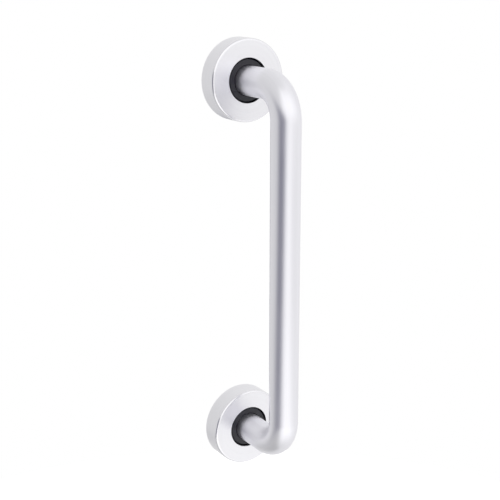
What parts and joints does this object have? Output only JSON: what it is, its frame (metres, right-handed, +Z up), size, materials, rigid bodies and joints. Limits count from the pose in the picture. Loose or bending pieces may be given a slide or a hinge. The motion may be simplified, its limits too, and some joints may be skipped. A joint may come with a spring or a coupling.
{
  "type": "d pull handle",
  "caption": "D pull handle: round satin aluminium bar bent into a D, its ends screwed into moulded bases under push-on round rose covers; screws upright to a door face.",
  "frame": {"origin": "on the door face, midway between the axes of the two legs", "axes": "+Z up along the grip, +Y into the door, +X to the right as seen by someone facing the door"},
  "size_m": [0.05, 0.0615, 0.275],
  "materials": {
    "satin_aluminium": "satin anodised",
    "black_nylon": "moulded, faintly glossy",
    "zinc_steel": "bright zinc plated"
  },
  "bodies": {
    "handle": {"grip_bar": "satin_aluminium", "upper_base": "black_nylon", "lower_base": "black_nylon", "bar_screws": "zinc_steel"},
    "upper_cover": {"upper_rose_cover": "satin_aluminium"},
    "lower_cover": {"lower_rose_cover": "satin_aluminium"}
  },
  "joints": [
    {"name": "upper_cover_slide", "type": "slide", "parent": "handle", "child": "upper_cover", "axis": [0, -1, 0], "range_m": [0, 0.026]},
    {"name": "lower_cover_slide", "type": "slide", "parent": "handle", "child": "lower_cover", "axis": [0, -1, 0], "range_m": [0, 0.026]}
  ]
}
